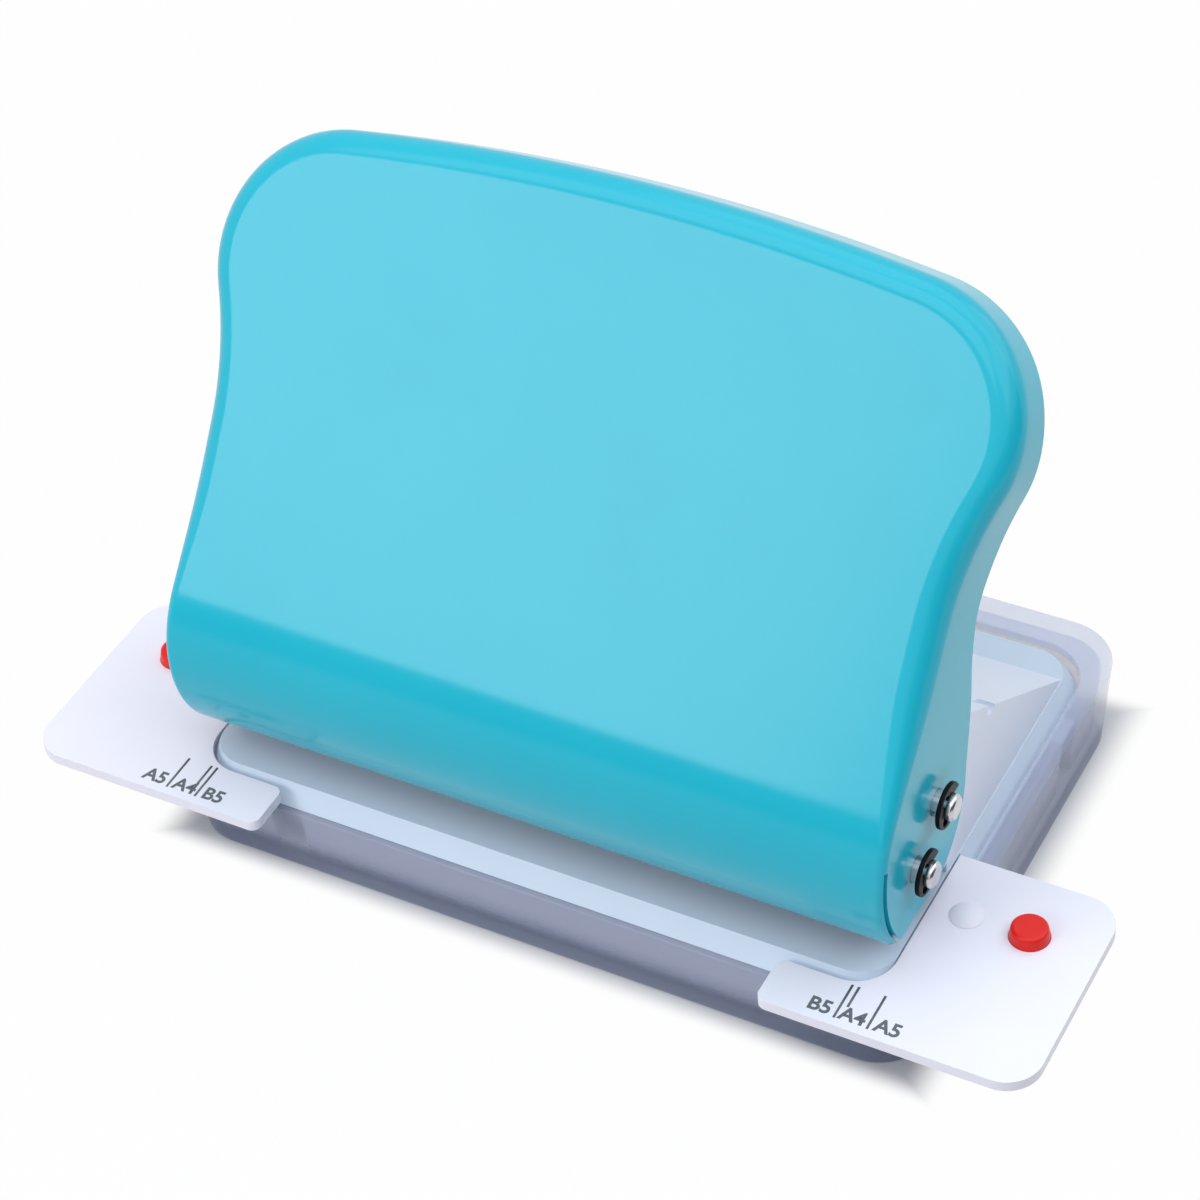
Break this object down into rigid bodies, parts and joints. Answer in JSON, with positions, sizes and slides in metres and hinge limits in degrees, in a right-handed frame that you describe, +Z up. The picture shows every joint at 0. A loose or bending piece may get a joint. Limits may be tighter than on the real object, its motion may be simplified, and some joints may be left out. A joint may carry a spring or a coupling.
{
  "type": "loose-leaf hole punch",
  "caption": "Desk hole punch for loose-leaf sheets: a broad press handle on a bent frame, paper rests with locating pins at both sides, and a clear chip tray below.",
  "frame": {"origin": "on the table, straight under the middle of the punch row", "axes": "+X along the punch row to the right, +Y to the rear, +Z up; paper enters from -Y"},
  "size_m": [0.1636, 0.0895, 0.1065],
  "materials": {
    "turquoise_paint": "glossy pearl enamel",
    "frame_white": "white enamel",
    "deck_white": "satin moulded plastic",
    "wing_white": "satin moulded plastic",
    "red_plastic": "semi-gloss moulded plastic",
    "clear_plastic": "clear moulded plastic",
    "steel": "ground steel",
    "bright_steel": "bright plated steel",
    "spring_steel": "drawn spring wire",
    "screw_steel": "zinc-plated steel",
    "clip_black": "black oxide"
  },
  "bodies": {
    "base": {"deck": "deck_white", "left_wing": "wing_white", "right_wing": "wing_white", "white_studs": "wing_white", "frame": "frame_white", "die_plate": "steel", "lower_punch_guide": "steel", "upper_punch_guide": "steel", "paper_stop": "steel", "punch_springs": "spring_steel", "pivot_shaft": "bright_steel", "pivot_clips": "clip_black", "left_pin_spring": "spring_steel", "right_pin_spring": "spring_steel", "left_pin_cup": "wing_white", "right_pin_cup": "wing_white", "frame_screws": "screw_steel", "wing_screws": "screw_steel"},
    "tray": {"chip_tray": "clear_plastic"},
    "handle": {"handle": "turquoise_paint", "press_rod": "bright_steel", "press_rod_clips": "clip_black"},
    "punch_row": {"punch_1": "steel", "punch_2": "steel", "punch_3": "steel", "punch_4": "steel", "punch_5": "steel", "punch_6": "steel", "punch_7": "steel", "punch_8": "steel", "punch_9": "steel", "punch_10": "steel"},
    "left_pin": {"red_pin_left": "red_plastic"},
    "right_pin": {"red_pin_right": "red_plastic"}
  },
  "joints": [
    {"name": "handle_press", "type": "hinge", "parent": "base", "child": "handle", "pos_m": [0, -0.0084, 0.032], "axis": [-1, 0, 0], "range_deg": [0, 43], "stiffness_Nm_per_rad": 0.8, "springref_deg": -17.19},
    {"name": "punch_slide", "type": "slide", "parent": "base", "child": "punch_row", "axis": [0, 0, -1], "range_m": [0, 0.00654], "deforming": ["punch_springs"]},
    {"name": "left_pin_press", "type": "slide", "parent": "base", "child": "left_pin", "axis": [0, 0, -1], "range_m": [0, 0.0018], "stiffness_N_per_m": 300, "springref_m": -0.002, "deforming": ["left_pin_spring"]},
    {"name": "right_pin_press", "type": "slide", "parent": "base", "child": "right_pin", "axis": [0, 0, -1], "range_m": [0, 0.0018], "stiffness_N_per_m": 300, "springref_m": -0.002, "deforming": ["right_pin_spring"]},
    {"name": "tray_pull", "type": "slide", "parent": "base", "child": "tray", "axis": [0, 0, -1], "range_m": [0, 0.02]}
  ],
  "couplings": [
    {"joint": "punch_slide", "follows": "handle_press", "m_per_rad": 0.0087057}
  ]
}
